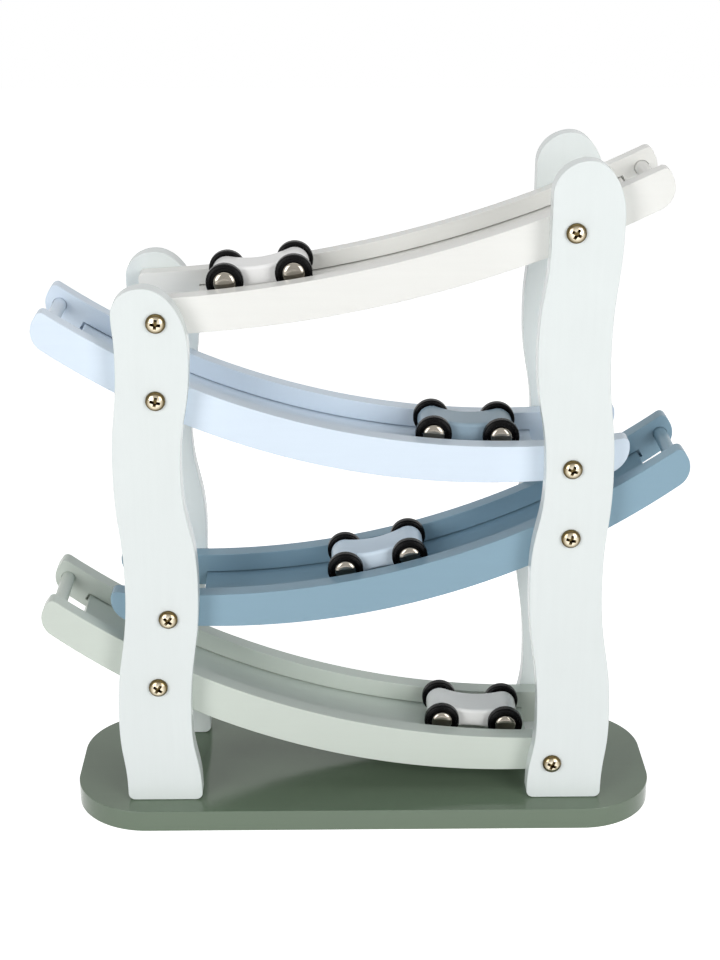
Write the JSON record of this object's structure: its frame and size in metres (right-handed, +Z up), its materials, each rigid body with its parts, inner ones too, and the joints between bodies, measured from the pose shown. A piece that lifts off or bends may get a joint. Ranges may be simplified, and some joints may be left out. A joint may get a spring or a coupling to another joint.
{
  "type": "wooden racing track",
  "caption": "Free-standing wooden toy race track: curved channels zigzag down between wavy posts on a rounded base, each with a small car that rolls along it.",
  "frame": {"origin": "middle of the base plate's underside, where the toy rests on a table", "axes": "+Z up, +X to the right seen from the front, +Y from the front posts to the rear posts"},
  "size_m": [0.2759, 0.09, 0.2939],
  "materials": {
    "sage_base": "satin paint",
    "mint_posts": "satin paint",
    "top_track_paint": "satin paint",
    "upper_track_paint": "satin paint",
    "lower_track_paint": "satin paint",
    "bottom_track_paint": "satin paint",
    "top_car_paint": "satin paint",
    "upper_car_paint": "satin paint",
    "lower_car_paint": "satin paint",
    "bottom_car_paint": "satin paint",
    "black_wheels": "semi-matt moulded",
    "chrome_axles": "polished",
    "brass_screws": "yellow passivated"
  },
  "bodies": {
    "frame": {"base_plate": "sage_base", "left_front_post": "mint_posts", "left_rear_post": "mint_posts", "right_front_post": "mint_posts", "right_rear_post": "mint_posts", "top_track_front_rail": "top_track_paint", "top_track_rear_rail": "top_track_paint", "top_track_floor": "top_track_paint", "top_track_dowel": "top_track_paint", "top_track_low_screw": "brass_screws", "top_track_upper_screw": "brass_screws", "upper_track_front_rail": "upper_track_paint", "upper_track_rear_rail": "upper_track_paint", "upper_track_floor": "upper_track_paint", "upper_track_dowel": "upper_track_paint", "upper_track_low_screw": "brass_screws", "upper_track_upper_screw": "brass_screws", "lower_track_front_rail": "lower_track_paint", "lower_track_rear_rail": "lower_track_paint", "lower_track_floor": "lower_track_paint", "lower_track_dowel": "lower_track_paint", "lower_track_low_screw": "brass_screws", "lower_track_upper_screw": "brass_screws", "bottom_track_front_rail": "bottom_track_paint", "bottom_track_rear_rail": "bottom_track_paint", "bottom_track_floor": "bottom_track_paint", "bottom_track_dowel": "bottom_track_paint", "bottom_track_low_screw": "brass_screws", "bottom_track_upper_screw": "brass_screws"},
    "top_car": {"top_car_body": "top_car_paint"},
    "top_car_low_wheelset": {"top_car_low_axle": "chrome_axles", "top_car_low_front_wheel": "black_wheels", "top_car_low_rear_wheel": "black_wheels"},
    "top_car_upper_wheelset": {"top_car_upper_axle": "chrome_axles", "top_car_upper_front_wheel": "black_wheels", "top_car_upper_rear_wheel": "black_wheels"},
    "upper_car": {"upper_car_body": "upper_car_paint"},
    "upper_car_low_wheelset": {"upper_car_low_axle": "chrome_axles", "upper_car_low_front_wheel": "black_wheels", "upper_car_low_rear_wheel": "black_wheels"},
    "upper_car_upper_wheelset": {"upper_car_upper_axle": "chrome_axles", "upper_car_upper_front_wheel": "black_wheels", "upper_car_upper_rear_wheel": "black_wheels"},
    "lower_car": {"lower_car_body": "lower_car_paint"},
    "lower_car_low_wheelset": {"lower_car_low_axle": "chrome_axles", "lower_car_low_front_wheel": "black_wheels", "lower_car_low_rear_wheel": "black_wheels"},
    "lower_car_upper_wheelset": {"lower_car_upper_axle": "chrome_axles", "lower_car_upper_front_wheel": "black_wheels", "lower_car_upper_rear_wheel": "black_wheels"},
    "bottom_car": {"bottom_car_body": "bottom_car_paint"},
    "bottom_car_low_wheelset": {"bottom_car_low_axle": "chrome_axles", "bottom_car_low_front_wheel": "black_wheels", "bottom_car_low_rear_wheel": "black_wheels"},
    "bottom_car_upper_wheelset": {"bottom_car_upper_axle": "chrome_axles", "bottom_car_upper_front_wheel": "black_wheels", "bottom_car_upper_rear_wheel": "black_wheels"}
  },
  "joints": [
    {"name": "top_car_roll", "type": "hinge", "parent": "frame", "child": "top_car", "pos_m": [-0.1169, 0, 0.7757], "axis": [0, 1, 0], "range_deg": [-14.61, 1.28]},
    {"name": "top_car_low_wheelset_spin", "type": "hinge", "parent": "top_car", "child": "top_car_low_wheelset", "pos_m": [-0.05762, 0, 0.23962], "axis": [0, 1, 0], "continuous": true},
    {"name": "top_car_upper_wheelset_spin", "type": "hinge", "parent": "top_car", "child": "top_car_upper_wheelset", "pos_m": [-0.02918, 0, 0.24353], "axis": [0, 1, 0], "continuous": true},
    {"name": "upper_car_roll", "type": "hinge", "parent": "frame", "child": "upper_car", "pos_m": [0.0589, 0, 0.5099], "axis": [0, 1, 0], "range_deg": [-2.32, 25.63]},
    {"name": "upper_car_low_wheelset_spin", "type": "hinge", "parent": "upper_car", "child": "upper_car_low_wheelset", "pos_m": [0.05794, 0, 0.17185], "axis": [0, 1, 0], "continuous": true},
    {"name": "upper_car_upper_wheelset_spin", "type": "hinge", "parent": "upper_car", "child": "upper_car_upper_wheelset", "pos_m": [0.02926, 0, 0.17315], "axis": [0, 1, 0], "continuous": true},
    {"name": "lower_car_roll", "type": "hinge", "parent": "frame", "child": "lower_car", "pos_m": [-0.0724, 0, 0.4517], "axis": [0, 1, 0], "range_deg": [-17.23, 10.18]},
    {"name": "lower_car_low_wheelset_spin", "type": "hinge", "parent": "lower_car", "child": "lower_car_low_wheelset", "pos_m": [-0.00818, 0, 0.11054], "axis": [0, 1, 0], "continuous": true},
    {"name": "lower_car_upper_wheelset_spin", "type": "hinge", "parent": "lower_car", "child": "lower_car_upper_wheelset", "pos_m": [0.01978, 0, 0.11701], "axis": [0, 1, 0], "continuous": true},
    {"name": "bottom_car_roll", "type": "hinge", "parent": "frame", "child": "bottom_car", "pos_m": [0.0727, 0, 0.382], "axis": [0, 1, 0], "range_deg": [-1.52, 26.93]},
    {"name": "bottom_car_low_wheelset_spin", "type": "hinge", "parent": "bottom_car", "child": "bottom_car_low_wheelset", "pos_m": [0.06372, 0, 0.03437], "axis": [0, 1, 0], "continuous": true},
    {"name": "bottom_car_upper_wheelset_spin", "type": "hinge", "parent": "bottom_car", "child": "bottom_car_upper_wheelset", "pos_m": [0.03508, 0, 0.03629], "axis": [0, 1, 0], "continuous": true}
  ],
  "couplings": [
    {"joint": "top_car_low_wheelset_spin", "follows": "top_car_roll", "ratio": -70.18},
    {"joint": "top_car_upper_wheelset_spin", "follows": "top_car_roll", "ratio": -70.18},
    {"joint": "upper_car_low_wheelset_spin", "follows": "upper_car_roll", "ratio": -44.372},
    {"joint": "upper_car_upper_wheelset_spin", "follows": "upper_car_roll", "ratio": -44.372},
    {"joint": "lower_car_low_wheelset_spin", "follows": "lower_car_roll", "ratio": -45.538},
    {"joint": "lower_car_upper_wheelset_spin", "follows": "lower_car_roll", "ratio": -45.538},
    {"joint": "bottom_car_low_wheelset_spin", "follows": "bottom_car_roll", "ratio": -45.615},
    {"joint": "bottom_car_upper_wheelset_spin", "follows": "bottom_car_roll", "ratio": -45.615}
  ]
}
